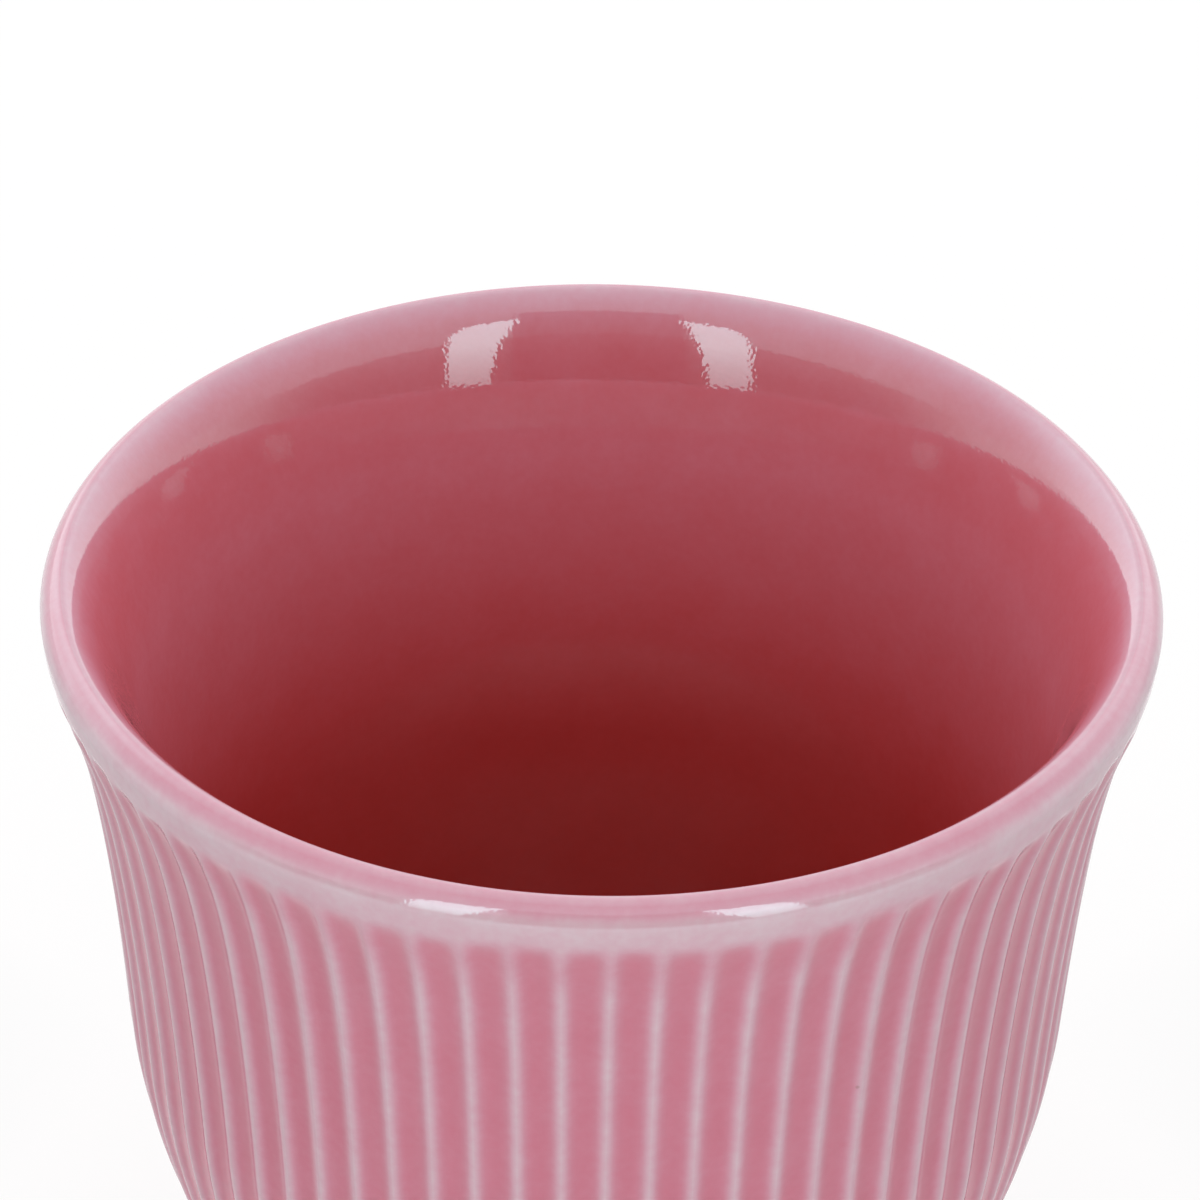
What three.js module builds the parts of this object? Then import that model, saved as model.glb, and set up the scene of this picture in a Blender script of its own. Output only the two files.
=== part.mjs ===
// A small handleless tasting cup in glazed porcelain: a flared lip, a wall of fine upright ribs,
// a round belly and a low foot ring. One porcelain body carries three coats of glaze: one outside,
// one inside and one in the recess under the foot. The foot ring itself is left bare.
// Millimetres, +Z up. The origin is the middle of the foot on the table, and the front faces -Y.
import * as THREE from "three";
import { mergeVertices } from "three/addons/utils/BufferGeometryUtils.js";

const { degToRad, lerp } = THREE.MathUtils;

// Whole cup
const RIM_DIAMETER = 78;
const HEIGHT = 64;

// Lip and flare: the wall's end is rounded, and leans out from the waist
const LIP_THICKNESS = 2.5;
const FLARE_ANGLE = degToRad(4);
const FLARE_LIP_REACH = 5.5;
const FLARE_WAIST_REACH = 31;

// Waist: the straightest stretch of wall, at a depth below the rim
const WAIST_DEPTH = 35;
const WAIST_DIAMETER = 67.2;
const WAIST_TAPER = degToRad(4.3);
const WALL_THICKNESS = 4;

// Throat: inside, the lip's rounding goes on past its crest and then eases into the wall
const LIP_TURN_IN = degToRad(39);
const THROAT_DEPTH = 18;
const THROAT_LIP_REACH = 2;
const THROAT_WALL_REACH = 12;

// Belly: the round stretch from the waist in to the foot
const BELLY_WAIST_REACH = 11;
const BELLY_FOOT_REACH = 6.5;
const BELLY_FOOT_ANGLE = degToRad(66);

// Foot ring: heights are above the table
const FOOT_DIAMETER = 42;
const FOOT_HEIGHT = 3;
const FOOT_FILLET = 0.6;
const FOOT_RING_WIDTH = 3;
const FOOT_EDGE = 0.4;
const BARE_FOOT_HEIGHT = 1;
const RECESS_DEPTH = 2.6;
const RECESS_FILLET = 0.8;

// Floor inside: the wall's curve turns into a flat at FLOOR_TURN_HEIGHT
const FLOOR_THICKNESS = 4;
const FLOOR_TURN_HEIGHT = 12;
const FLOOR_TURN_REACH = 6;
const FLOOR_FLAT_DIAMETER = 24;

// Ribs: raised lines with wide shallow flutes between them, in pairs so that the smooth rings
// can have one side to each pair
const RIB_PAIRS = 36;
const RIB_SHARE_OF_PITCH = 0.5;
const COLLAR_DEPTH = 3.4;
const RIB_FOOT_HEIGHT = 8;
const FLUTE_DEPTH = 0.35;
const FLUTE_RUNOUT = 1.8;

// Glaze: it runs thin on the ribs and pools in the flutes
const GLAZE_COAT = 0.3;
const GLAZE_ON_RIBS = 0.2;
const GLAZE_IN_FLUTES = 0.45;

// Rows of points along each stretch of the outline, as shares of the way along it
const FOOT_TO_RIBS_ROW = 0.4;
const RIBS_TO_WAIST_ROWS = [0, 0.27, 0.62];
const WAIST_TO_COLLAR_ROWS = [0.27, 0.68, 1];
const THROAT_ROWS = [0.15, 0.35, 0.65, 1];
const BELLY_INSIDE_ROW = 0.4;
const FLOOR_TURN_ROWS = [0, 0.4, 0.75, 1];
const HALVINGS = 40;

const rimSides = 2 * RIB_PAIRS;
const smoothSides = RIB_PAIRS;

// The outline's places, as (radius, height) pairs
const lipRadius = LIP_THICKNESS / 2;
const lipCentre = new THREE.Vector2(RIM_DIAMETER / 2 - lipRadius, HEIGHT - lipRadius);
const waist = new THREE.Vector2(WAIST_DIAMETER / 2, HEIGHT - WAIST_DEPTH);
const footRadius = FOOT_DIAMETER / 2;
const footFace = footRadius + GLAZE_COAT;
const bellyStart = new THREE.Vector2(footFace + FOOT_FILLET, FOOT_HEIGHT);
const recessFace = footRadius - FOOT_RING_WIDTH - GLAZE_COAT;
const floorHeight = RECESS_DEPTH + FLOOR_THICKNESS;

// A unit vector leaning outward from upright by an angle
function leaning(angle) {
  return new THREE.Vector2(Math.sin(angle), Math.cos(angle));
}

function reached(start, direction, distance) {
  return start.clone().addScaledVector(direction, distance);
}

// A point on the finished surface, and the way out of the cup's material there
function station(radius, height, outRadius, outHeight) {
  return { point: new THREE.Vector2(radius, height), out: new THREE.Vector2(outRadius, outHeight) };
}

function onCurve(curve, parameter) {
  const along = curve.getTangent(parameter);
  return { point: curve.getPoint(parameter), out: new THREE.Vector2(along.y, -along.x) };
}

// A place on the lip's rounding: 0 faces outward, a quarter turn faces up
function onLip(angle) {
  const out = new THREE.Vector2(Math.cos(angle), Math.sin(angle));
  return { point: reached(lipCentre, out, lipRadius), out };
}

const lipStart = onLip(-FLARE_ANGLE).point;
const belly = new THREE.CubicBezierCurve(
  bellyStart,
  reached(bellyStart, leaning(BELLY_FOOT_ANGLE), BELLY_FOOT_REACH),
  reached(waist, leaning(WAIST_TAPER), -BELLY_WAIST_REACH),
  waist,
);
const flare = new THREE.CubicBezierCurve(
  waist,
  reached(waist, leaning(WAIST_TAPER), FLARE_WAIST_REACH),
  reached(lipStart, leaning(FLARE_ANGLE), -FLARE_LIP_REACH),
  lipStart,
);

// The place on the outside curve at a height, found by halving
function onWall(height) {
  const curve = height < waist.y ? belly : flare;
  let low = 0;
  let high = 1;
  for (let step = 0; step < HALVINGS; step++) {
    const middle = (low + high) / 2;
    if (curve.getPoint(middle).y < height) low = middle;
    else high = middle;
  }
  return onCurve(curve, low);
}

// A ring's points round the axis, sunk below the finished surface by an inset
function plainRing(place, sides, inset) {
  const { x: radius, y: height } = reached(place.point, place.out, -inset);
  const points = [];
  for (let side = 0; side < sides; side++) {
    const angle = (2 * Math.PI * side) / sides - Math.PI / 2;
    points.push(new THREE.Vector3(radius * Math.cos(angle), radius * Math.sin(angle), height));
  }
  return points;
}

// The same with three points to a rib: its crest, and the two sides of the flute beyond it
function ribbedRing(place, crestInset, fluteInset) {
  const crests = plainRing(place, rimSides, crestInset);
  const flutes = plainRing(place, rimSides, fluteInset);
  const pitch = (2 * Math.PI) / rimSides;
  const upright = new THREE.Vector3(0, 0, 1);
  return crests.flatMap((crest, rib) => {
    const near = flutes[rib].clone().applyAxisAngle(upright, (RIB_SHARE_OF_PITCH / 2) * pitch);
    const far = flutes[rib].clone().applyAxisAngle(upright, (1 - RIB_SHARE_OF_PITCH / 2) * pitch);
    return [crest, near, far];
  });
}

function turned(triangles) {
  return triangles.map(([a, b, c]) => [a, c, b]);
}

// Triangles between two rings, where the finer ring has a whole number of points to each of the
// coarser ring's. They face outward when the rings climb, and a ring of one point makes a fan.
function band(from, to) {
  const coarse = from.length <= to.length ? from : to;
  const fine = coarse === from ? to : from;
  const share = fine.length / coarse.length;
  const triangles = [];
  coarse.forEach((here, index) => {
    const next = coarse[(index + 1) % coarse.length];
    const first = index * share;
    const middle = first + Math.floor(share / 2);
    for (let step = first; step < first + share; step++) {
      triangles.push([step < middle ? here : next, fine[(step + 1) % fine.length], fine[step]]);
    }
    if (here !== next) triangles.push([here, next, fine[middle]]);
  });
  return coarse === from ? triangles : turned(triangles);
}

function skin(rings) {
  return rings.slice(1).flatMap((ring, index) => band(rings[index], ring));
}

// Outside, from the glaze's lower edge on the foot up to the lip's crest
const lowRow = RIB_FOOT_HEIGHT + FLUTE_RUNOUT;
const highRow = HEIGHT - COLLAR_DEPTH - FLUTE_RUNOUT;
const ribRows = [
  ...RIBS_TO_WAIST_ROWS.map((share) => lerp(lowRow, waist.y, share)),
  ...WAIST_TO_COLLAR_ROWS.map((share) => lerp(waist.y, highRow, share)),
];
const footPlaces = [
  station(footFace, BARE_FOOT_HEIGHT, 1, 0),
  station(footFace, FOOT_HEIGHT - FOOT_FILLET, 1, 0),
  onCurve(belly, 0),
  onWall(lerp(FOOT_HEIGHT, RIB_FOOT_HEIGHT, FOOT_TO_RIBS_ROW)),
];
const ribFootPlace = onWall(RIB_FOOT_HEIGHT);
const ribPlaces = ribRows.map(onWall);
const crestPlace = onLip(Math.PI / 2);
const lipOutPlaces = [
  onWall(HEIGHT - COLLAR_DEPTH),
  onLip(-FLARE_ANGLE),
  onLip(0),
  onLip(Math.PI / 4),
  crestPlace,
];

function outsideRings(coat, onRibs, inFlutes) {
  return [
    ...footPlaces.map((place) => plainRing(place, smoothSides, coat)),
    plainRing(ribFootPlace, rimSides, coat),
    ...ribPlaces.map((place) => ribbedRing(place, onRibs, inFlutes)),
    ...lipOutPlaces.map((place) => plainRing(place, rimSides, coat)),
  ];
}

// Inside, from the lip's crest down the wall to the middle of the floor.
// The place that lies one wall thickness behind the outside at a height:
function behindWall(height) {
  const { point, out } = onWall(height);
  return { point: reached(point, out, -WALL_THICKNESS), out: out.negate() };
}

// A point further down the inside from a place there
function further(place, distance) {
  return reached(place.point, new THREE.Vector2(-place.out.y, place.out.x), distance);
}

const throatStart = onLip(Math.PI / 2 + LIP_TURN_IN);
const throatEnd = behindWall(HEIGHT - THROAT_DEPTH);
const throat = new THREE.CubicBezierCurve(
  throatStart.point,
  further(throatStart, THROAT_LIP_REACH),
  further(throatEnd, -THROAT_WALL_REACH),
  throatEnd.point,
);
const turnPlace = behindWall(FLOOR_TURN_HEIGHT);
const floorEdge = new THREE.Vector2(FLOOR_FLAT_DIAMETER / 2, floorHeight);
const floorTurn = new THREE.CubicBezierCurve(
  turnPlace.point,
  further(turnPlace, FLOOR_TURN_REACH),
  floorEdge.clone().setX(floorEdge.x + FLOOR_TURN_REACH),
  floorEdge,
);
const lipInPlaces = [
  crestPlace,
  onLip((Math.PI + LIP_TURN_IN) / 2),
  throatStart,
];
const wallInPlaces = [
  ...THROAT_ROWS.map((share) => onCurve(throat, share)),
  behindWall(waist.y),
  behindWall(lerp(FLOOR_TURN_HEIGHT, waist.y, BELLY_INSIDE_ROW)),
  ...FLOOR_TURN_ROWS.map((share) => onCurve(floorTurn, share)),
];
const floorMiddle = station(0, floorHeight, 0, 1);

function insideRings(coat) {
  return [
    ...lipInPlaces.map((place) => plainRing(place, rimSides, coat)),
    ...wallInPlaces.map((place) => plainRing(place, smoothSides, coat)),
    plainRing(floorMiddle, 1, coat),
  ];
}

// The recess under the foot, from its middle out to the glaze's edge inside the foot ring
const recessMiddle = station(0, RECESS_DEPTH, 0, -1);
const recessPlaces = [
  station(recessFace - RECESS_FILLET, RECESS_DEPTH, 0, -1),
  station(recessFace, RECESS_DEPTH - RECESS_FILLET, -1, 0),
  station(recessFace, BARE_FOOT_HEIGHT, -1, 0),
];

function recessRings(coat) {
  const rings = recessPlaces.map((place) => plainRing(place, smoothSides, coat));
  return [plainRing(recessMiddle, 1, coat), ...rings];
}

const glazedOutside = outsideRings(0, 0, FLUTE_DEPTH);
const firedOutside = outsideRings(GLAZE_COAT, GLAZE_ON_RIBS, FLUTE_DEPTH + GLAZE_IN_FLUTES);
const glazedInside = insideRings(0);
const firedInside = insideRings(GLAZE_COAT);
const glazedRecess = recessRings(0);
const firedRecess = recessRings(GLAZE_COAT);

// The bare ring that stands on the table
const ringInside = footRadius - FOOT_RING_WIDTH;
const bareFoot = [
  firedRecess.at(-1),
  ...[
    station(ringInside, FOOT_EDGE, -1, 0),
    station(ringInside + FOOT_EDGE, 0, 0, -1),
    station(footRadius - FOOT_EDGE, 0, 0, -1),
    station(footRadius, FOOT_EDGE, 1, 0),
  ].map((place) => plainRing(place, smoothSides, 0)),
  firedOutside[0],
];

const outsideSkin = skin(firedOutside);
const insideSkin = skin(firedInside);
const recessSkin = skin(firedRecess);
const crestSeam = band(glazedOutside.at(-1), firedOutside.at(-1));

const cup = new THREE.Group();

function addPiece(name, triangles, look) {
  const surface = mergeVertices(new THREE.BufferGeometry().setFromPoints(triangles.flat()));
  surface.computeVertexNormals();
  const piece = new THREE.Mesh(surface, new THREE.MeshStandardMaterial(look));
  piece.name = name;
  cup.add(piece);
}

// Fired porcelain: the whole body, bare only at the foot ring
addPiece(
  "porcelain_body",
  [...recessSkin, ...skin(bareFoot), ...outsideSkin, ...insideSkin],
  { color: 0xe9e3dc, roughness: 0.7, metalness: 0 },
);

// Outer glaze: from above the bare foot, over the ribs, to the crest of the lip
addPiece(
  "outer_glaze",
  [
    ...skin(glazedOutside),
    ...turned(outsideSkin),
    ...crestSeam,
    ...band(firedOutside[0], glazedOutside[0]),
  ],
  { color: 0xcf8a9c, roughness: 0.15, metalness: 0 },
);

// Inner glaze: from the crest of the lip down and over the floor
addPiece(
  "inner_glaze",
  [...skin(glazedInside), ...turned(insideSkin), ...turned(crestSeam)],
  { color: 0xc06a7c, roughness: 0.12, metalness: 0 },
);

// Recess glaze: under the foot, inside the bare ring
addPiece(
  "recess_glaze",
  [...skin(glazedRecess), ...turned(recessSkin), ...band(glazedRecess.at(-1), firedRecess.at(-1))],
  { color: 0xcf8a9c, roughness: 0.2, metalness: 0 },
);

export default cup;
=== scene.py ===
import math

import bpy
import numpy as np
from mathutils import Euler, Matrix, Vector


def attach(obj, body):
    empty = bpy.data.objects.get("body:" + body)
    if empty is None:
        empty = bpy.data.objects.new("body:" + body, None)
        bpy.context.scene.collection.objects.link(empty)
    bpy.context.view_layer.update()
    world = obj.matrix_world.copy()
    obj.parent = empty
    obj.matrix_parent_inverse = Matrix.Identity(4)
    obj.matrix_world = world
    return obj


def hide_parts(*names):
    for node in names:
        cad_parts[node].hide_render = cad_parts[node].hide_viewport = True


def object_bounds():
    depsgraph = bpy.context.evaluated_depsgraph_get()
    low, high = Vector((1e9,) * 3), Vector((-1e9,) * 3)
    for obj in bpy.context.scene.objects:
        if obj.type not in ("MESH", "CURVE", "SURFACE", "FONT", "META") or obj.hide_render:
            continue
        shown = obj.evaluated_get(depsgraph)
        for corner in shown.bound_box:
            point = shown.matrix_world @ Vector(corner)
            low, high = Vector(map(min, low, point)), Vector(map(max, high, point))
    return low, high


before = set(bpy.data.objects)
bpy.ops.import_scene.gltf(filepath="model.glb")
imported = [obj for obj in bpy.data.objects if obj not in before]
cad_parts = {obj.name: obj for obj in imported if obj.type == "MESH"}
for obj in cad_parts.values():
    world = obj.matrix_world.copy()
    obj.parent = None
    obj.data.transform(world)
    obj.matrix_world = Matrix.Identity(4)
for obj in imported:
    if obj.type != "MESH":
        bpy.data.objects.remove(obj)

cad_low, cad_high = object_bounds()
MM = 0.001

# Whole cup, from the frame
HEIGHT = (cad_high.z - cad_low.z) / MM
RIM_RADIUS = (cad_high.x - cad_low.x) / 2 / MM

# Lip: a sloping flank under a narrow round crest
LIP_HEIGHT = 1.82
LIP_START_INSET = 0.003
LIP_FLANK_REACH = 0.62
LIP_CREST_REACH = 0.505
LIP_CREST_INSET = 1.48
LIP_CREST_RADIUS = 0.72
LIP_CREST_START = math.radians(60)

# Flare, waist and belly, as in the solids
FLARE_ANGLE = math.radians(4)
FLARE_LIP_REACH = 5.5
FLARE_WAIST_REACH = 31
WAIST_RADIUS = 33.6
WAIST_DEPTH = 35
WAIST_TAPER = math.radians(4.3)
WALL_THICKNESS = 4
BELLY_WAIST_REACH = 11
BELLY_FOOT_REACH = 6.5
BELLY_FOOT_ANGLE = math.radians(66)

# Throat and floor inside
LIP_TURN_IN = math.radians(38)
THROAT_DEPTH = 18
THROAT_LIP_REACH = 2
THROAT_WALL_REACH = 12
CUP_FLOOR_TURN_HEIGHT = 12
CUP_FLOOR_TURN_REACH = 6
CUP_FLOOR_EDGE_RADIUS = 12
CUP_FLOOR_HEIGHT = 6.6

# Foot ring and the recess under it
FOOT_RADIUS = 21
FOOT_RING_WIDTH = 3
FOOT_HEIGHT = 3
FOOT_FILLET = 0.6
FOOT_EDGE = 0.4
BARE_FOOT_HEIGHT = 1
FILLET_START_HEIGHT = 1.9
FILLET_REACH = 0.6
FILLET_SHARE_OF_BELLY = 0.06
RECESS_DEPTH = 2.6
RECESS_FILLET = 0.8

# Ribs and flutes: a rib's rounding is a bell curve, and so is each flute's end
RIBS = 72
RIB_SPREAD_IN_PITCHES = 0.2
FLUTE_DEPTH = 0.35
FIRED_FLUTE_DEPTH = 0.5
FLUTE_TOP_HEIGHT = HEIGHT - 2.92
FLUTE_TOP_SPREAD = 1.35
FLUTE_FOOT_HEIGHT = 7.6
FLUTE_FOOT_SPREAD = 1.6
# Waves in the line of the flutes' ends: height, number round the cup and start
FLUTE_END_WOBBLES = ((0.12, 11, 0.7), (0.08, 29, 2.1))

# Glaze: the coat's thickness decides its colour
GLAZE_COAT = 0.3
RIB_GLAZE = 0.2
FLUTE_GLAZE = 0.45
FOOT_GLAZE = 0.42
FOOT_EDGE_GLAZE = 0.55
FOOT_EDGE_SPREAD = 2 * GLAZE_COAT
RECESS_GLAZE = 0.4
# Just under the collar the glaze has run over the ribs, which show less there
RUN_OVER_RIBS = 0.28
RUN_START_HEIGHT = HEIGHT - 6
RUN_END_HEIGHT = HEIGHT - 9
# Outside and inside the lip: depth below the rim, and the coat there
LIP_OUTSIDE_GLAZE = (
    (0, 0.245), (0.1, 0.25), (0.3, 0.29), (0.55, 0.275), (0.75, 0.25), (0.95, 0.215),
    (1.2, 0.18), (1.5, 0.17), (1.9, 0.18), (2.4, 0.19), (3.2, 0.2),
)
# Inside, from the crest down to the floor. Below about 11 mm the coat is made ever thicker, so the colour
# darkens towards the bottom: partly glaze pooled on the floor, partly painted shade for the dark deep in the
# cup
INSIDE_GLAZE_AND_SHADE = (
    (0, 0.215), (0.3, 0.26), (1.4, 0.36), (3, 0.44), (6, 0.465), (8, 0.455), (11, 0.417),
    (20, 0.49), (24, 0.55), (33, 0.72), (45, 0.94), (52, 1.0), (57, 1.1),
)

# Points round the cup, and rows up it: the hidden ones lie between the body and its coats
QUARTER = math.pi / 2
ON_AXIS = 1e-9
RIB_COLUMNS = 12 * RIBS
SMOOTH_COLUMNS = 6 * RIBS
HIDDEN_COLUMNS = 3 * RIBS
FEWEST_COLUMNS = RIBS // 4
HALVING_RADIUS = RIM_RADIUS / 3
OUTLINE_SAMPLES = 2001
WALL_STEP = 1.0
FLUTE_END_STEP = 0.16
COLLAR_STEP = 0.25
FOOT_STEP = 0.5
HIDDEN_STEP = 3
HIDDEN_FLUTE_END_STEP = 0.75
LIP_STEP = math.radians(3)
HIDDEN_LIP_STEP = math.radians(18)
EDGE_STEP = QUARTER / 6
FILLET_ROWS = 10
FLANK_ROWS = 28
HIDDEN_FLANK_ROWS = 6
THROAT_ROWS = 26
HIDDEN_THROAT_ROWS = 6
CUP_FLOOR_TURN_ROWS = 14
HIDDEN_CUP_FLOOR_TURN_ROWS = 6
CUP_FLOOR_RADII = (9, 6, 3, 1.2, 0)
HIDDEN_CUP_FLOOR_RADII = (6, 0)
RECESS_RADII = (0, 2, 5, 9, 13)
RECESS_FILLET_STEP = QUARTER / 8
HIDDEN_RECESS_FILLET_STEP = QUARTER / 3
# Where the ribbed rows start and end past the flutes' ends, and where those ends are full flutes again
RIBBED_FOOT_MARGIN = 0.6
RIBBED_TOP_MARGIN = 0.4
FLUTE_FOOT_DONE_SPREADS = 2
FLUTE_TOP_DONE_SPREADS = 2.4


# Outline: rows of (radius, height, out radius, out height), where out leads away from the material

def leaning(angle):
    return np.array([math.sin(angle), math.cos(angle)])


def curve_rows(start, start_hand, end_hand, end, shares):
    t = np.asarray(shares, dtype=float)[:, None]
    place = (1 - t) ** 3 * start + 3 * (1 - t) ** 2 * t * start_hand
    place = place + 3 * (1 - t) * t ** 2 * end_hand + t ** 3 * end
    along = (1 - t) ** 2 * (start_hand - start) + 2 * (1 - t) * t * (end_hand - start_hand)
    along = along + t ** 2 * (end - end_hand)
    along = along / np.linalg.norm(along, axis=1, keepdims=True)
    return np.column_stack([place, along[:, 1], -along[:, 0]])


def arc_rows(centre, radius, start, end, step):
    angles = np.linspace(start, end, max(2, round(abs(end - start) / step) + 1))
    out = np.column_stack([np.cos(angles), np.sin(angles)])
    return np.column_stack([np.asarray(centre) + radius * out, out])


def spaced(start, end, step):
    return np.linspace(start, end, max(2, round(abs(end - start) / step) + 1))


CREST_CENTRE = np.array([RIM_RADIUS - LIP_CREST_INSET, HEIGHT - LIP_CREST_RADIUS])
FOOT_FACE = FOOT_RADIUS + GLAZE_COAT
RECESS_RADIUS = FOOT_RADIUS - FOOT_RING_WIDTH
WAIST = np.array([WAIST_RADIUS, HEIGHT - WAIST_DEPTH])
CUP_FLOOR_EDGE = np.array([CUP_FLOOR_EDGE_RADIUS, CUP_FLOOR_HEIGHT])
EVEN_SHARES = np.linspace(0, 1, OUTLINE_SAMPLES)

lip_start = np.array([RIM_RADIUS - LIP_START_INSET, HEIGHT - LIP_HEIGHT])
belly_start = np.array([FOOT_FACE + FOOT_FILLET, FOOT_HEIGHT])
belly = curve_rows(
    belly_start,
    belly_start + BELLY_FOOT_REACH * leaning(BELLY_FOOT_ANGLE),
    WAIST - BELLY_WAIST_REACH * leaning(WAIST_TAPER),
    WAIST,
    EVEN_SHARES,
)
flare = curve_rows(
    WAIST,
    WAIST + FLARE_WAIST_REACH * leaning(WAIST_TAPER),
    lip_start - FLARE_LIP_REACH * leaning(FLARE_ANGLE),
    lip_start,
    EVEN_SHARES,
)
wall = np.concatenate([belly, flare[1:]])


def wall_rows(heights):
    return np.column_stack([np.interp(heights, wall[:, 1], wall[:, k]) for k in range(4)])


def lip_rows(flank_count, crest_step):
    """From the flare over the flank to the top of the crest."""
    crest = arc_rows(CREST_CENTRE, LIP_CREST_RADIUS, LIP_CREST_START, QUARTER, crest_step)
    flank_end = crest[0]
    return np.concatenate([
        curve_rows(
            lip_start,
            lip_start + LIP_FLANK_REACH * leaning(FLARE_ANGLE),
            flank_end[:2] + LIP_CREST_REACH * np.array([flank_end[3], -flank_end[2]]),
            flank_end[:2],
            np.linspace(0, 1, flank_count),
        ),
        crest[1:],
    ])


def inside_wall_rows(heights):
    rows = wall_rows(heights)
    return np.column_stack([rows[:, :2] - WALL_THICKNESS * rows[:, 2:], -rows[:, 2:]])


def down_the_inside(row, distance):
    return row[:2] + distance * np.array([-row[3], row[2]])


def throat_rows(shares):
    start = arc_rows(CREST_CENTRE, LIP_CREST_RADIUS, QUARTER, QUARTER + LIP_TURN_IN, LIP_STEP)[-1]
    end = inside_wall_rows([HEIGHT - THROAT_DEPTH])[0]
    start_hand = down_the_inside(start, THROAT_LIP_REACH)
    end_hand = down_the_inside(end, -THROAT_WALL_REACH)
    return curve_rows(start[:2], start_hand, end_hand, end[:2], shares)


def floor_turn_rows(shares):
    start = inside_wall_rows([CUP_FLOOR_TURN_HEIGHT])[0]
    start_hand = down_the_inside(start, CUP_FLOOR_TURN_REACH)
    end_hand = CUP_FLOOR_EDGE + [CUP_FLOOR_TURN_REACH, 0]
    return curve_rows(start[:2], start_hand, end_hand, CUP_FLOOR_EDGE, shares)


def flat_rows(radii, height, facing):
    return np.array([(radius, height, 0, facing) for radius in radii], dtype=float)


# Flutes, and the coat's thickness over them

def pitches_from_rib(angles):
    turns = (angles + QUARTER) * RIBS / (2 * math.pi)
    return np.abs(turns - np.round(turns))


def bell(distance, spread):
    return np.exp(-(np.maximum(distance, 0) / spread) ** 2)


def over_rib(angles):
    return bell(pitches_from_rib(angles), RIB_SPREAD_IN_PITCHES)


def wobble(angles):
    return sum(size * np.sin(waves * angles + phase) for size, waves, phase in FLUTE_END_WOBBLES)


def past_flute_top(angles, height):
    return bell(FLUTE_TOP_HEIGHT + wobble(angles) - height, FLUTE_TOP_SPREAD)


def past_flute_foot(angles, height):
    return bell(height - FLUTE_FOOT_HEIGHT - wobble(angles), FLUTE_FOOT_SPREAD)


def fluting(angles, height):
    """1 in the middle of a flute, 0 on a rib and where the flutes have ended."""
    ends = (1 - past_flute_top(angles, height)) * (1 - past_flute_foot(angles, height))
    return (1 - over_rib(angles)) * ends


def mixed(first, second, share):
    return first + (second - first) * share


def by_depth(keys, height):
    depths, values = zip(*keys)
    return np.interp(HEIGHT - height, depths, values)


def coat_to_edge(coat, height):
    """The coat is thicker where it ends above the bare foot."""
    return mixed(coat, FOOT_EDGE_GLAZE, bell(height - BARE_FOOT_HEIGHT, FOOT_EDGE_SPREAD))


def outside_glaze(angles, height):
    run = np.clip((height - RUN_END_HEIGHT) / (RUN_START_HEIGHT - RUN_END_HEIGHT), 0, 1)
    coat = mixed(FLUTE_GLAZE, RIB_GLAZE, over_rib(angles) * (1 - RUN_OVER_RIBS * run))
    coat = mixed(coat, by_depth(LIP_OUTSIDE_GLAZE, height), past_flute_top(angles, height))
    return mixed(coat, coat_to_edge(FOOT_GLAZE, height), past_flute_foot(angles, height))


# Shells: rings of points, bridged in order

class Shell:
    """A closed mesh in the making. Rings run the same way round, and faces lie between them in order."""

    def __init__(self):
        self.points = []
        self.glaze = []
        self.count = 0
        self.faces = []
        self.seams = []

    def ring(self, row, columns, sink=0.0, glaze=0.0):
        """Adds one ring and returns its point numbers. A row on the axis makes one point."""
        angles = ring_angles(1 if row[0] < ON_AXIS else columns)
        radius = row[0] - sink * row[2]
        height = np.broadcast_to(row[1] - sink * row[3], angles.shape)
        self.points.append(np.column_stack([radius * np.cos(angles), radius * np.sin(angles), height]))
        self.glaze.append(np.broadcast_to(glaze, angles.shape))
        numbers = np.arange(self.count, self.count + len(angles))
        self.count += len(angles)
        return numbers

    def bridge(self, rings):
        for lower, upper in zip(rings, rings[1:]):
            self.faces.extend(bridge_faces(lower, upper))


def ring_angles(columns):
    return 2 * math.pi * np.arange(columns) / columns - QUARTER


def bridge_faces(lower, upper):
    """Faces between two rings, where one has a whole number of points to each of the other's."""
    if len(lower) == len(upper):
        after_lower, after_upper = np.roll(lower, -1), np.roll(upper, -1)
        return np.column_stack([lower, after_lower, after_upper, upper]).tolist()
    fine, coarse = (lower, upper) if len(lower) > len(upper) else (upper, lower)
    share = len(fine) // len(coarse)
    faces = []
    for index, here in enumerate(coarse.tolist()):
        following = int(coarse[(index + 1) % len(coarse)])
        middle = index * share + share // 2
        for step in range(index * share, (index + 1) * share):
            owner = here if step < middle else following
            faces.append([int(fine[step]), int(fine[(step + 1) % len(fine)]), owner])
        if here != following:
            faces.append([int(fine[middle]), following, here])
    return faces if fine is lower else [face[::-1] for face in faces]


# Rows of each surface, in the order that leads round the material: recess, foot, outside, lip, inside

ribbed_low = FLUTE_FOOT_HEIGHT - RIBBED_FOOT_MARGIN
ribbed_high = FLUTE_TOP_HEIGHT + RIBBED_TOP_MARGIN
flute_foot_done = FLUTE_FOOT_HEIGHT + FLUTE_FOOT_DONE_SPREADS * FLUTE_FOOT_SPREAD
flute_top_done = FLUTE_TOP_HEIGHT - FLUTE_TOP_DONE_SPREADS * FLUTE_TOP_SPREAD
fillet_end = belly[round(FILLET_SHARE_OF_BELLY * (len(belly) - 1))]
fillet_start = np.array([FOOT_FACE, FILLET_START_HEIGHT])
fillet_along = np.array([-fillet_end[3], fillet_end[2]])

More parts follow.
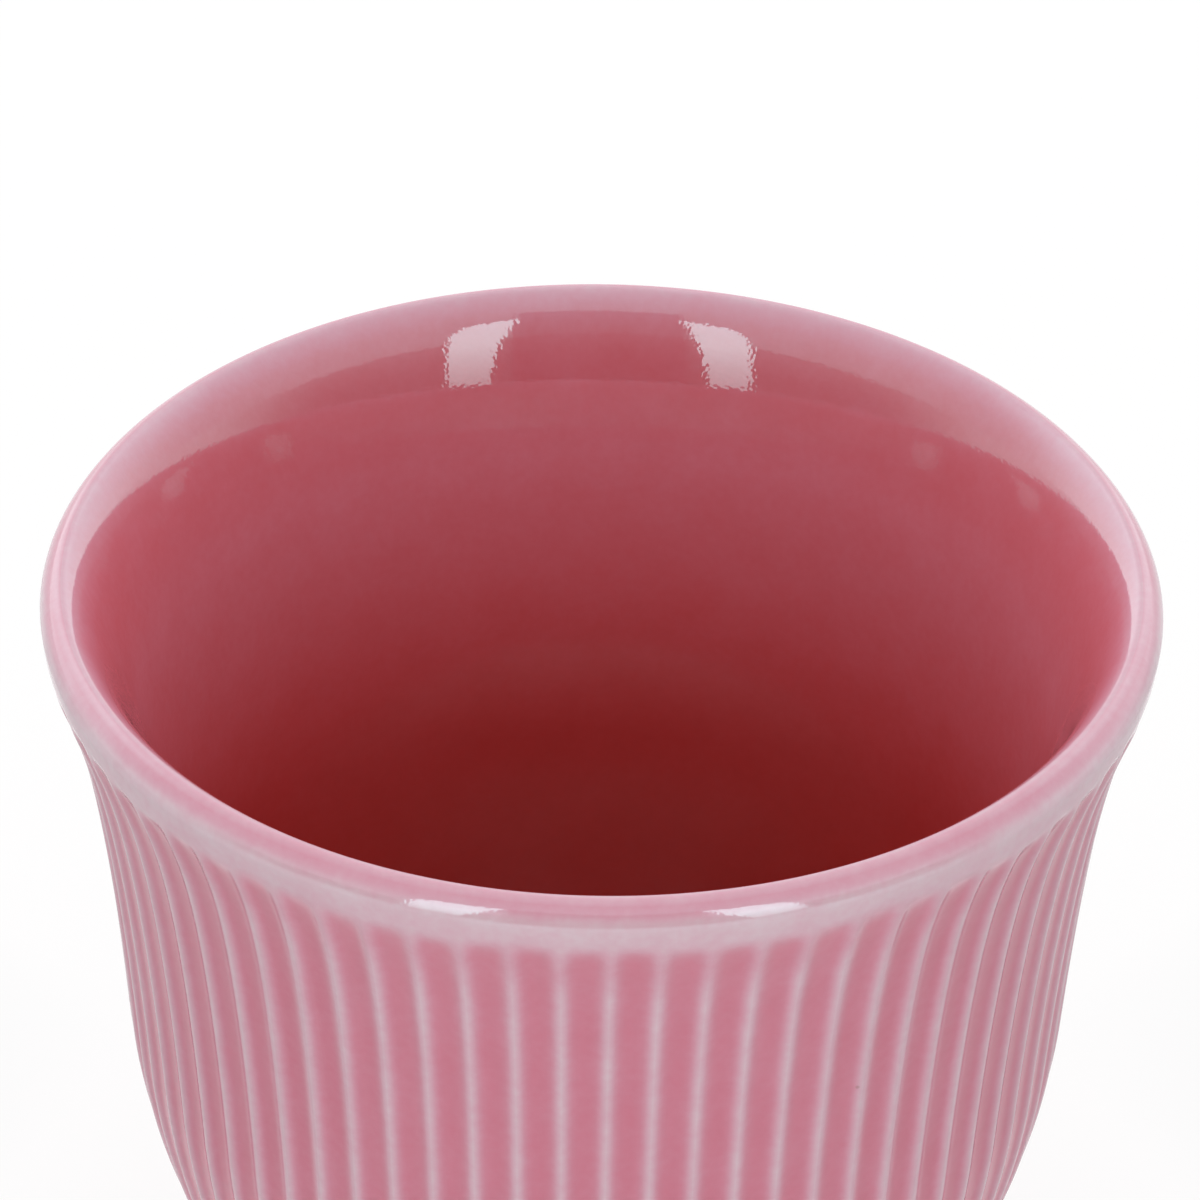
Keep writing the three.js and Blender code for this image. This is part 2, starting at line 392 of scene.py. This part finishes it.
outside_rows = np.concatenate([
    arc_rows((FOOT_RADIUS, BARE_FOOT_HEIGHT + GLAZE_COAT), GLAZE_COAT, -QUARTER, 0, EDGE_STEP)[1:],
    curve_rows(
        fillet_start,
        fillet_start + [0, FILLET_REACH],
        fillet_end[:2] - FILLET_REACH * fillet_along,
        fillet_end[:2],
        np.linspace(0, 1, FILLET_ROWS),
    ),
    wall_rows(spaced(fillet_end[1], ribbed_low, FOOT_STEP)[1:]),
    wall_rows(spaced(ribbed_low, flute_foot_done, FLUTE_END_STEP)[1:]),
    wall_rows(spaced(flute_foot_done, flute_top_done, WALL_STEP)[1:]),
    wall_rows(spaced(flute_top_done, ribbed_high, FLUTE_END_STEP)[1:]),
    wall_rows(spaced(ribbed_high, lip_start[1], COLLAR_STEP)[1:]),
    lip_rows(FLANK_ROWS, LIP_STEP)[1:],
])
foot_stations = np.array([[FOOT_FACE, BARE_FOOT_HEIGHT, 1, 0], [FOOT_FACE, FILLET_START_HEIGHT, 1, 0]])
fired_outside_rows = np.concatenate([
    foot_stations,
    wall_rows(spaced(fillet_end[1], ribbed_low, HIDDEN_STEP)),
    wall_rows(spaced(ribbed_low, flute_foot_done, HIDDEN_FLUTE_END_STEP)[1:]),
    wall_rows(spaced(flute_foot_done, flute_top_done, HIDDEN_STEP)[1:]),
    wall_rows(spaced(flute_top_done, ribbed_high, HIDDEN_FLUTE_END_STEP)[1:]),
    lip_rows(HIDDEN_FLANK_ROWS, HIDDEN_LIP_STEP),
])


def inside_rows(lip_step, throat_count, wall_step, turn_count, floor_radii):
    return np.concatenate([
        arc_rows(CREST_CENTRE, LIP_CREST_RADIUS, QUARTER, QUARTER + LIP_TURN_IN, lip_step),
        throat_rows(np.linspace(0, 1, throat_count))[1:],
        inside_wall_rows(spaced(HEIGHT - THROAT_DEPTH, CUP_FLOOR_TURN_HEIGHT, wall_step))[1:],
        floor_turn_rows(np.linspace(0, 1, turn_count))[1:],
        flat_rows(floor_radii, CUP_FLOOR_EDGE[1], 1),
    ])


glazed_inside_rows = inside_rows(
    LIP_STEP, THROAT_ROWS, WALL_STEP, CUP_FLOOR_TURN_ROWS, CUP_FLOOR_RADII
)
fired_inside_rows = inside_rows(
    HIDDEN_LIP_STEP, HIDDEN_THROAT_ROWS, HIDDEN_STEP, HIDDEN_CUP_FLOOR_TURN_ROWS, HIDDEN_CUP_FLOOR_RADII
)


def recess_rows(fillet_step):
    centre = (RECESS_RADIUS - GLAZE_COAT - RECESS_FILLET, RECESS_DEPTH - RECESS_FILLET)
    fillet = arc_rows(centre, RECESS_FILLET, QUARTER, 0, fillet_step)
    fillet[:, 2:] *= -1
    return np.concatenate([flat_rows(RECESS_RADII, RECESS_DEPTH, -1), fillet])


def columns_at(radius, most):
    """Fewer points to a ring near the axis: half inside the halving radius, and so on inwards."""
    columns = most
    while columns % 2 == 0 and radius < HALVING_RADIUS * columns / most and columns > FEWEST_COLUMNS:
        columns //= 2
    return columns


def fired_outside_rings(shell):
    rings = []
    for row in fired_outside_rows:
        sink = GLAZE_COAT + FIRED_FLUTE_DEPTH * fluting(ring_angles(SMOOTH_COLUMNS), row[1])
        rings.append(shell.ring(row, SMOOTH_COLUMNS, sink))
    return rings


def fired_inside_rings(shell, first):
    rest = fired_inside_rows[1:]
    return [first] + [shell.ring(row, columns_at(row[0], HIDDEN_COLUMNS), GLAZE_COAT) for row in rest]


def fired_recess_rings(shell):
    rows = recess_rows(HIDDEN_RECESS_FILLET_STEP)
    rings = [shell.ring(row, columns_at(row[0], HIDDEN_COLUMNS), GLAZE_COAT) for row in rows]
    rings.append(shell.ring([RECESS_RADIUS, BARE_FOOT_HEIGHT, -1, 0], HIDDEN_COLUMNS))
    return rings


def outer_coat():
    shell = Shell()
    fired = fired_outside_rings(shell)
    glazed = [fired[0]]
    for row in outside_rows:
        columns = RIB_COLUMNS if ribbed_low < row[1] < ribbed_high else SMOOTH_COLUMNS
        angles = ring_angles(columns)
        sink = FLUTE_DEPTH * fluting(angles, row[1])
        glazed.append(shell.ring(row, columns, sink, outside_glaze(angles, row[1])))
    shell.bridge(glazed + fired[::-1])
    shell.seams = [fired[0], glazed[-1], fired[-1]]
    return shell


def inner_coat():
    shell = Shell()
    glazed = []
    for row in glazed_inside_rows:
        columns = columns_at(row[0], SMOOTH_COLUMNS)
        # The inside's coat, which further down also carries painted shade that darkens the cup towards its
        # floor
        glazed.append(shell.ring(row, columns, 0, by_depth(INSIDE_GLAZE_AND_SHADE, row[1])))
    crest = shell.ring(fired_inside_rows[0], SMOOTH_COLUMNS, GLAZE_COAT)
    fired = fired_inside_rings(shell, crest)
    shell.bridge(glazed)
    shell.bridge(fired[::-1] + [glazed[0]])
    shell.seams = [glazed[0], crest]
    return shell


def recess_coat():
    shell = Shell()
    fired = fired_recess_rings(shell)
    bead_centre = (RECESS_RADIUS, BARE_FOOT_HEIGHT + GLAZE_COAT)
    bead = arc_rows(bead_centre, GLAZE_COAT, 2 * QUARTER, 3 * QUARTER, EDGE_STEP)
    glazed = []
    for row in np.concatenate([recess_rows(RECESS_FILLET_STEP), bead[:-1]]):
        columns = columns_at(row[0], HIDDEN_COLUMNS)
        glazed.append(shell.ring(row, columns, 0, coat_to_edge(RECESS_GLAZE, row[1])))
    shell.bridge(glazed + fired[::-1])
    shell.seams = [fired[-1]]
    return shell


def cup_body():
    shell = Shell()
    outside = fired_outside_rings(shell)
    recess = fired_recess_rings(shell)
    edges = np.concatenate([
        arc_rows((RECESS_RADIUS + FOOT_EDGE, FOOT_EDGE), FOOT_EDGE, 2 * QUARTER, 3 * QUARTER, EDGE_STEP),
        arc_rows((FOOT_RADIUS - FOOT_EDGE, FOOT_EDGE), FOOT_EDGE, 3 * QUARTER, 4 * QUARTER, EDGE_STEP),
    ])
    foot = [shell.ring(row, SMOOTH_COLUMNS) for row in edges]
    inside = fired_inside_rings(shell, outside[-1])
    shell.bridge(recess + foot + outside + inside[1:])
    shell.seams = [recess[-1], outside[0]]
    return shell


# Materials

# Noise lies mostly between these values
NOISE_SPAN = (0.3, 0.7)
# Colours of the glaze where it is as deep as on a rib and as in a flute, outside and inside
OUTSIDE_COLOURS = ((0.682, 0.404, 0.474), (0.612, 0.1235, 0.2))
INSIDE_COLOURS = ((0.655, 0.386, 0.453), (0.615, 0.143, 0.182))
# How much faster than its depth each channel darkens, where the glaze lies deep. Inside, red darkens
# fastest: painted shade that makes the deep inside darker and browner
OUTSIDE_DEEPENING = (1.0, 1.0, 1.0)
INSIDE_DEEPENING_AND_SHADE = (1.85, 0.93, 1.14)
# Faint unevenness of the coat, and fine waves in its surface in metres
CLOUD_SCALE = 260
CLOUD_COAT = 0.015
GRAIN_SCALE = 1500
GRAIN_COAT = 0.01
RIPPLE_SCALE = 170
SKIN_SCALE = 3600
WAVE_HEIGHT = 4e-6
# Specks: one in some of the cells, with a soft edge
SPECK_COLOUR = (0.30, 0.10, 0.09, 1)
SPECK_SCALE = 110.0
SPECK_EDGE = (0.012, 0.024)
SPECK_STRENGTH = 0.45
SPECK_CHANCE = 0.2
# The gloss dulls where the coat lies deep, and more where it has pooled on the floor
GLOSS_TINT = (0.62, 1.0, 1.04, 1)
GLAZE_ROUGHNESS = (0.025, 0.05)
DEEP_COATS = (0.6, 1.0)
DEEP_ROUGHNESS = 0.2
POOLED_COATS = (1.0, 1.1)
POOLED_ROUGHNESS = 0.45
GLAZE_IOR = 1.55
GLAZE_SPECULAR = 1.0
# Bare porcelain
PORCELAIN_COLOURS = ((0.72, 0.63, 0.56, 1), (0.80, 0.74, 0.68, 1))
PORCELAIN_CLOUD_SCALE = 220
PORCELAIN_GRAIN_SCALE = 3200
PORCELAIN_GRAIN_HEIGHT = 2e-5
PORCELAIN_ROUGHNESS = (0.6, 0.8)


def new_node(tree, kind, inputs=None, **settings):
    node = tree.nodes.new(kind)
    for name, value in settings.items():
        setattr(node, name, value)
    for name, value in (inputs or {}).items():
        if isinstance(value, bpy.types.NodeSocket):
            tree.links.new(value, node.inputs[name])
        else:
            node.inputs[name].default_value = value
    return node


def math_node(tree, operation, *values):
    return new_node(tree, "ShaderNodeMath", dict(enumerate(values)), operation=operation).outputs[0]


def new_material(name):
    material = bpy.data.materials.new(name)
    material.use_nodes = True
    material.node_tree.nodes.clear()
    return material, material.node_tree


def noise(tree, place, scale, detail):
    inputs = {"Vector": place, "Scale": scale, "Detail": detail}
    return new_node(tree, "ShaderNodeTexNoise", inputs).outputs["Fac"]


def ranged(tree, value, from_low, from_high, to_low, to_high):
    inputs = {
        "Value": value,
        "From Min": from_low,
        "From Max": from_high,
        "To Min": to_low,
        "To Max": to_high,
    }
    return new_node(tree, "ShaderNodeMapRange", inputs).outputs["Result"]


def bumped(tree, height, distance, normal=None):
    inputs = {"Height": height, "Distance": distance, "Strength": 1.0}
    if normal is not None:
        inputs["Normal"] = normal
    return new_node(tree, "ShaderNodeBump", inputs).outputs["Normal"]


def glaze_colour(tree, coat, colours, deepening):
    """The coat takes light in by its depth, each channel by its own law."""
    depth = math_node(tree, "DIVIDE", math_node(tree, "SUBTRACT", coat, RIB_GLAZE), FLUTE_GLAZE - RIB_GLAZE)
    channels = {}
    for channel, thin, deep, bend in zip(("Red", "Green", "Blue"), *colours, deepening):
        through = math_node(tree, "POWER", deep / thin, math_node(tree, "POWER", depth, bend))
        channels[channel] = math_node(tree, "MULTIPLY", through, thin)
    return new_node(tree, "ShaderNodeCombineColor", channels).outputs["Color"]


def specked(tree, place, colour):
    cells = new_node(tree, "ShaderNodeTexVoronoi", {"Vector": place, "Scale": SPECK_SCALE})
    draw = new_node(tree, "ShaderNodeSeparateColor", {"Color": cells.outputs["Color"]}).outputs["Red"]
    speck = math_node(
        tree, "MULTIPLY",
        ranged(tree, cells.outputs["Distance"], *SPECK_EDGE, SPECK_STRENGTH, 0.0),
        math_node(tree, "GREATER_THAN", draw, 1 - SPECK_CHANCE),
    )
    mix = new_node(tree, "ShaderNodeMix", {0: speck, 6: colour, 7: SPECK_COLOUR}, data_type="RGBA")
    return mix.outputs[2]


def glaze_material(name, colours, deepening):
    material, tree = new_material(name)
    place = new_node(tree, "ShaderNodeTexCoord").outputs["Object"]
    even_coat = new_node(tree, "ShaderNodeAttribute", attribute_name="glaze").outputs["Fac"]
    clouds = noise(tree, place, CLOUD_SCALE, detail=3)
    grain = noise(tree, place, GRAIN_SCALE, detail=2)
    coat = math_node(tree, "ADD", even_coat, ranged(tree, clouds, *NOISE_SPAN, -CLOUD_COAT, CLOUD_COAT))
    coat = math_node(tree, "ADD", coat, ranged(tree, grain, *NOISE_SPAN, -GRAIN_COAT, GRAIN_COAT))
    ripple = bumped(tree, noise(tree, place, RIPPLE_SCALE, detail=1), WAVE_HEIGHT)
    dulled = math_node(
        tree, "ADD",
        ranged(tree, even_coat, *DEEP_COATS, 0.0, DEEP_ROUGHNESS),
        ranged(tree, even_coat, *POOLED_COATS, 0.0, POOLED_ROUGHNESS),
    )
    shader = new_node(tree, "ShaderNodeBsdfPrincipled", {
        "Base Color": specked(tree, place, glaze_colour(tree, coat, colours, deepening)),
        "Roughness": math_node(tree, "ADD", ranged(tree, clouds, *NOISE_SPAN, *GLAZE_ROUGHNESS), dulled),
        "IOR": GLAZE_IOR,
        "Specular IOR Level": GLAZE_SPECULAR,
        "Specular Tint": GLOSS_TINT,
        "Normal": bumped(tree, noise(tree, place, SKIN_SCALE, detail=0), WAVE_HEIGHT, ripple),
    })
    new_node(tree, "ShaderNodeOutputMaterial", {"Surface": shader.outputs["BSDF"]})
    return material


def porcelain_material():
    material, tree = new_material("bare_porcelain")
    place = new_node(tree, "ShaderNodeTexCoord").outputs["Object"]
    clouds = noise(tree, place, PORCELAIN_CLOUD_SCALE, detail=4)
    grain = noise(tree, place, PORCELAIN_GRAIN_SCALE, detail=3)
    ramp = new_node(tree, "ShaderNodeValToRGB", {"Fac": clouds})
    for stop, position, colour in zip(ramp.color_ramp.elements, NOISE_SPAN, PORCELAIN_COLOURS):
        stop.position = position
        stop.color = colour
    shader = new_node(tree, "ShaderNodeBsdfPrincipled", {
        "Base Color": ramp.outputs["Color"],
        "Roughness": ranged(tree, grain, *NOISE_SPAN, *PORCELAIN_ROUGHNESS),
        "Normal": bumped(tree, grain, PORCELAIN_GRAIN_HEIGHT),
    })
    new_node(tree, "ShaderNodeOutputMaterial", {"Surface": shader.outputs["BSDF"]})
    return material


# Pieces

def add_piece(name, shell, material, node):
    mesh = bpy.data.meshes.new(name)
    points = np.concatenate(shell.points) * MM
    mesh.from_pydata(points.tolist(), [], shell.faces)
    mesh.shade_smooth()
    mesh.attributes.new("glaze", "FLOAT", "POINT").data.foreach_set("value", np.concatenate(shell.glaze))
    on_seam = np.full(shell.count, -1)
    for number, seam in enumerate(shell.seams):
        on_seam[seam] = number
    ends = np.empty(2 * len(mesh.edges), dtype=np.int32)
    mesh.edges.foreach_get("vertices", ends)
    first, second = on_seam[ends[0::2]], on_seam[ends[1::2]]
    mesh.edges.foreach_set("use_edge_sharp", (first >= 0) & (first == second))
    mesh.materials.append(material)
    piece = bpy.data.objects.new(name, mesh)
    bpy.context.scene.collection.objects.link(piece)
    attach(piece, "root")
    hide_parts(node)


outside_material = glaze_material("outside_glaze", OUTSIDE_COLOURS, OUTSIDE_DEEPENING)
# The inside glaze's deepening is partly painted shade: red darkens fastest where the coat lies deep
inside_material = glaze_material("inside_glaze", INSIDE_COLOURS, INSIDE_DEEPENING_AND_SHADE)
add_piece("porcelain_cup_body", cup_body(), porcelain_material(), "porcelain_body")
add_piece("outer_glaze_coat", outer_coat(), outside_material, "outer_glaze")
add_piece("inner_glaze_coat", inner_coat(), inside_material, "inner_glaze")
add_piece("recess_glaze_coat", recess_coat(), outside_material, "recess_glaze")


# Studio: sizes from here on are in metres

FLOOR_HALF = 4.0
FLOOR_DROP = 0.0001
FLOOR_WHITE = 0.92
FLOOR_SEEN_SHARE = 0.86
FLOOR_REFLECTED_SHARE = 0.3
# To the left and right the floor looks as white, but gives the cup less light
FLOOR_SIDE_WHITE = 0.2
FLOOR_SIDE_SEEN_SHARE = 0.97
FLOOR_SIDE_REFLECTED_SHARE = 0.76
FLOOR_SIDE_TURNS = (math.radians(46), math.radians(68))
FLOOR_SIDE_STARTS = (0.045, 0.07)
SKY_STRENGTH = 1.0
# Points up and along the curved screens, and round a softbox's corner
SCREEN_ROWS = 13
CARD_COLUMNS = 13
FLAG_COLUMNS = 47
SCREEN_COLUMNS = 37
SOFTBOX_CORNER_POINTS = 12
# The dark flags' rim stands at one rise all round and is tipped up at the front
FLAG_RADIUS = 1.6
FLAG_HALF_TURN = math.radians(155)
FLAG_RISE = math.radians(13)
FLAG_TIP = math.radians(12.6)
FRONT_FLAG_STRENGTHS = (0.03, 0.16)
SIDE_FLAG_STRENGTHS = (0.17, 0.42)
BACK_FLAG_STRENGTH = 1.25
FLAG_FADE_UP = (0.4, 1.0)
FLAG_FADE_BACK = (math.radians(60), math.radians(100))
# The grey card between the softboxes
CARD_HALF_TURN = math.radians(19.5)
CARD_TOP = math.radians(41.5)
CARD_STRENGTH = 0.3
# The white screens at the sides and behind fade out into the sky
SCREEN_RADIUS = 1.55
SCREEN_TURNS = (math.radians(84), math.radians(172))
SCREEN_TOP = math.radians(52)
SCREEN_FADE_IN = (math.radians(92), math.radians(128))
SCREEN_FADE_OUT = (math.radians(150), math.radians(172))
SCREEN_FADE_TOP = (math.radians(40), math.radians(52))
SCREEN_EXTRAS = (0.95, 0.65)
# Each softbox is upright outside and leans in inside, with a round outer corner
SOFTBOX_DISTANCE = 0.368
SOFTBOX_AZIMUTH = math.radians(27.5)
SOFTBOX_FOOT = 0.061
SOFTBOX_INNER_FOOT = -0.0085
SOFTBOX_INNER_TOP = np.array([-0.052, 0.2786])
SOFTBOX_OUTER = 0.0505
SOFTBOX_CORNER_START = 0.14
SOFTBOX_CORNER_HANDS = (0.077, 0.021)
SOFTBOX_CORNER_END = np.array([0.0105, 0.2485])
SOFTBOX_STRENGTHS = (1.55, 4.1)


def add_stage_mesh(name, points, faces, material, seen=False):
    mesh = bpy.data.meshes.new(name)
    mesh.from_pydata(points, [], faces)
    mesh.materials.append(material)
    piece = bpy.data.objects.new(name, mesh)
    bpy.context.scene.collection.objects.link(piece)
    piece.visible_camera = seen
    return piece


def grey(level):
    return (level, level, level, 1)


def shining(name, strength_of):
    material, tree = new_material(name)
    glow = new_node(tree, "ShaderNodeEmission", {"Color": grey(1), "Strength": strength_of(tree)})
    new_node(tree, "ShaderNodeOutputMaterial", {"Surface": glow.outputs[0]})
    return material


def floor_side(tree):
    """1 to the left and right of the cup, 0 under it, in front and behind."""
    place = new_node(tree, "ShaderNodeTexCoord").outputs["Object"]
    across = new_node(tree, "ShaderNodeSeparateXYZ", {"Vector": place}).outputs["X"]
    distance = new_node(tree, "ShaderNodeVectorMath", {0: place}, operation="LENGTH").outputs["Value"]
    sideways = math_node(tree, "DIVIDE", math_node(tree, "ABSOLUTE", across), distance)
    turns = [math.sin(turn) for turn in FLOOR_SIDE_TURNS]
    turned = ranged(tree, sideways, *turns, 0.0, 1.0)
    started = ranged(tree, distance, *FLOOR_SIDE_STARTS, 0.0, 1.0)
    return math_node(tree, "MULTIPLY", turned, started)


def add_floor():
    material, tree = new_material("white_floor")
    side = floor_side(tree)
    seen_share = ranged(tree, side, 0.0, 1.0, FLOOR_SEEN_SHARE, FLOOR_SIDE_SEEN_SHARE)
    reflected_share = ranged(tree, side, 0.0, 1.0, FLOOR_REFLECTED_SHARE, FLOOR_SIDE_REFLECTED_SHARE)
    white = ranged(tree, side, 0.0, 1.0, FLOOR_WHITE, FLOOR_SIDE_WHITE)
    path = new_node(tree, "ShaderNodeLightPath")
    glossy = path.outputs["Is Glossy Ray"]
    reflected = math_node(tree, "MAXIMUM", glossy, path.outputs["Is Transmission Ray"])
    share = math_node(
        tree, "MAXIMUM",
        math_node(tree, "MULTIPLY", path.outputs["Is Camera Ray"], seen_share),
        math_node(tree, "MULTIPLY", reflected, reflected_share),
    )
    paint = new_node(tree, "ShaderNodeBsdfDiffuse", {"Color": white})
    glow = new_node(tree, "ShaderNodeEmission", {"Color": grey(1), "Strength": 1.0})
    mix = new_node(tree, "ShaderNodeMixShader", {0: share, 1: paint.outputs[0], 2: glow.outputs[0]})
    new_node(tree, "ShaderNodeOutputMaterial", {"Surface": mix.outputs[0]})
    half = FLOOR_HALF
    corners = [(x, y, -FLOOR_DROP) for x, y in ((-half, -half), (half, -half), (half, half), (-half, half))]
    add_stage_mesh("floor", corners, [(0, 1, 2, 3)], material, seen=True)


def flag_rise(turn):
    tip = math.tan(FLAG_TIP) * math.cos(turn)
    return math.atan(tip) + math.asin(math.sin(FLAG_RISE) / math.hypot(1, tip))


def eased(value, start, end):
    """From 0 at the start to 1 at the end, with soft ends."""
    share = np.clip((value - start) / (end - start), 0, 1)
    return share * share * (3 - 2 * share)


def add_curved_screen(name, radius, turns, low_rises, high_rises, strength_of, material):
    """Part of a standing cylinder round the cup. A turn is measured from the front, and a rise from level.
    Its strength goes by the turn, the rise and the share of the way up."""
    shares = np.linspace(0, 1, SCREEN_ROWS)
    points, strengths, faces = [], [], []
    for turn, low, high in zip(turns, low_rises, high_rises):
        for share in shares:
            up = mixed(math.tan(low), math.tan(high), share)
            points.append((radius * math.sin(turn), -radius * math.cos(turn), radius * up))
            strengths.append(strength_of(turn, math.atan(up), share))
    for column in range(len(turns) - 1):
        for row in range(SCREEN_ROWS - 1):
            corner = column * SCREEN_ROWS + row
            faces.append((corner, corner + SCREEN_ROWS, corner + SCREEN_ROWS + 1, corner + 1))
    screen = add_stage_mesh(name, points, faces, material)
    screen.data.attributes.new("strength", "FLOAT", "POINT").data.foreach_set("value", strengths)


def own_strength(tree):
    return new_node(tree, "ShaderNodeAttribute", attribute_name="strength").outputs["Fac"]


def front_flag_strength(turn, rise, share):
    return mixed(*FRONT_FLAG_STRENGTHS, eased(share, *FLAG_FADE_UP))


def side_flag_strength(turn, rise, share):
    strength = mixed(*SIDE_FLAG_STRENGTHS, eased(share, *FLAG_FADE_UP))
    return mixed(strength, BACK_FLAG_STRENGTH, eased(abs(turn), *FLAG_FADE_BACK))


def card_strength(turn, rise, share):
    return CARD_STRENGTH


def screen_strength(turn, rise, share):
    extra = SCREEN_EXTRAS[0] if turn < 0 else SCREEN_EXTRAS[1]
    sides = eased(abs(turn), *SCREEN_FADE_IN) * (1 - eased(abs(turn), *SCREEN_FADE_OUT))
    return SKY_STRENGTH + extra * sides * (1 - eased(rise, *SCREEN_FADE_TOP))


def add_screens():
    """Dark flags, a grey card and white screens, which the cup reflects and the camera doesn't see."""
    material = shining("studio_screen", own_strength)
    turns = np.linspace(-CARD_HALF_TURN, CARD_HALF_TURN, CARD_COLUMNS)
    rises = [flag_rise(turn) for turn in turns]
    tops = 0 * turns + CARD_TOP
    add_curved_screen("flag_front", FLAG_RADIUS, turns, 0 * turns, rises, front_flag_strength, material)
    add_curved_screen("studio_card", FLAG_RADIUS, turns, rises, tops, card_strength, material)
    for name, side in (("left", -1), ("right", 1)):
        turns = side * np.linspace(CARD_HALF_TURN, FLAG_HALF_TURN, FLAG_COLUMNS)
        rises = [flag_rise(turn) for turn in turns]
        add_curved_screen("flag_" + name, FLAG_RADIUS, turns, 0 * turns, rises, side_flag_strength, material)
        turns = side * np.linspace(*SCREEN_TURNS, SCREEN_COLUMNS)
        lows = [max(flag_rise(turn), 0) for turn in turns]
        tops = 0 * turns + SCREEN_TOP
        add_curved_screen("screen_" + name, SCREEN_RADIUS, turns, lows, tops, screen_strength, material)


def softbox_outline(side):
    """In the panel's own plane: how far out from its middle, and how far up from its foot."""
    corner_start = np.array([SOFTBOX_OUTER, SOFTBOX_CORNER_START])
    corner = curve_rows(
        corner_start,
        corner_start + [0, SOFTBOX_CORNER_HANDS[0]],
        SOFTBOX_CORNER_END + [SOFTBOX_CORNER_HANDS[1], 0],
        SOFTBOX_CORNER_END,
        np.linspace(0, 1, SOFTBOX_CORNER_POINTS),
    )[:, :2]
    points = [(SOFTBOX_INNER_FOOT, 0.0), (SOFTBOX_OUTER, 0.0), *corner.tolist(), SOFTBOX_INNER_TOP.tolist()]
    return [(side * across, up, 0.0) for across, up in points]


def softbox_strength(tree):
    place = new_node(tree, "ShaderNodeTexCoord").outputs["Object"]
    up = new_node(tree, "ShaderNodeSeparateXYZ", {"Vector": place}).outputs["Y"]
    return ranged(tree, up, 0.0, SOFTBOX_CORNER_START, *SOFTBOX_STRENGTHS)


def add_softboxes():
    """Two tall panels at the front, one on each side, that face the cup."""
    material = shining("softbox_cloth", softbox_strength)
    for name, side in (("softbox_left", -1), ("softbox_right", 1)):
        outline = softbox_outline(side)
        box = add_stage_mesh(name, outline, [tuple(range(len(outline)))], material)
        azimuth = side * SOFTBOX_AZIMUTH
        box.location = (
            SOFTBOX_DISTANCE * math.sin(azimuth),
            -SOFTBOX_DISTANCE * math.cos(azimuth),
            SOFTBOX_FOOT,
        )
        box.rotation_euler = (QUARTER, 0, azimuth)


def set_sky():
    world = bpy.data.worlds.new("white_studio")
    world.use_nodes = True
    tree = world.node_tree
    tree.nodes.clear()
    sky = new_node(tree, "ShaderNodeBackground", {"Color": grey(1), "Strength": SKY_STRENGTH})
    new_node(tree, "ShaderNodeOutputWorld", {"Surface": sky.outputs[0]})
    bpy.context.scene.world = world


# Camera: where it stands from the middle of the rim, and which way it looks
CAMERA_DISTANCE = 0.5228
CAMERA_AZIMUTH = math.radians(1.4489)
CAMERA_ELEVATION = math.radians(34.3507)
VIEW_YAW = math.radians(1.4325)
VIEW_PITCH = math.radians(34.551)
VIEW_ROLL = math.radians(0.9016)
LENS = 226.01
SENSOR = 36.0
CLIP_START = 0.05


def add_camera():
    data = bpy.data.cameras.new("camera")
    data.sensor_width = SENSOR
    data.lens = LENS
    data.clip_start = CLIP_START
    camera = bpy.data.objects.new("camera", data)
    level = CAMERA_DISTANCE * math.cos(CAMERA_ELEVATION)
    rim_middle = Vector((0, 0, HEIGHT * MM))
    camera.location = rim_middle + Vector((
        -level * math.sin(CAMERA_AZIMUTH),
        -level * math.cos(CAMERA_AZIMUTH),
        CAMERA_DISTANCE * math.sin(CAMERA_ELEVATION),
    ))
    looking = Euler((QUARTER - VIEW_PITCH, 0, -VIEW_YAW)).to_matrix().to_4x4()
    camera.rotation_euler = (looking @ Matrix.Rotation(VIEW_ROLL, 4, "Z")).to_euler()
    bpy.context.scene.collection.objects.link(camera)
    bpy.context.scene.camera = camera


add_floor()
add_screens()
add_softboxes()
set_sky()
add_camera()
bpy.context.scene.view_settings.view_transform = "Standard"
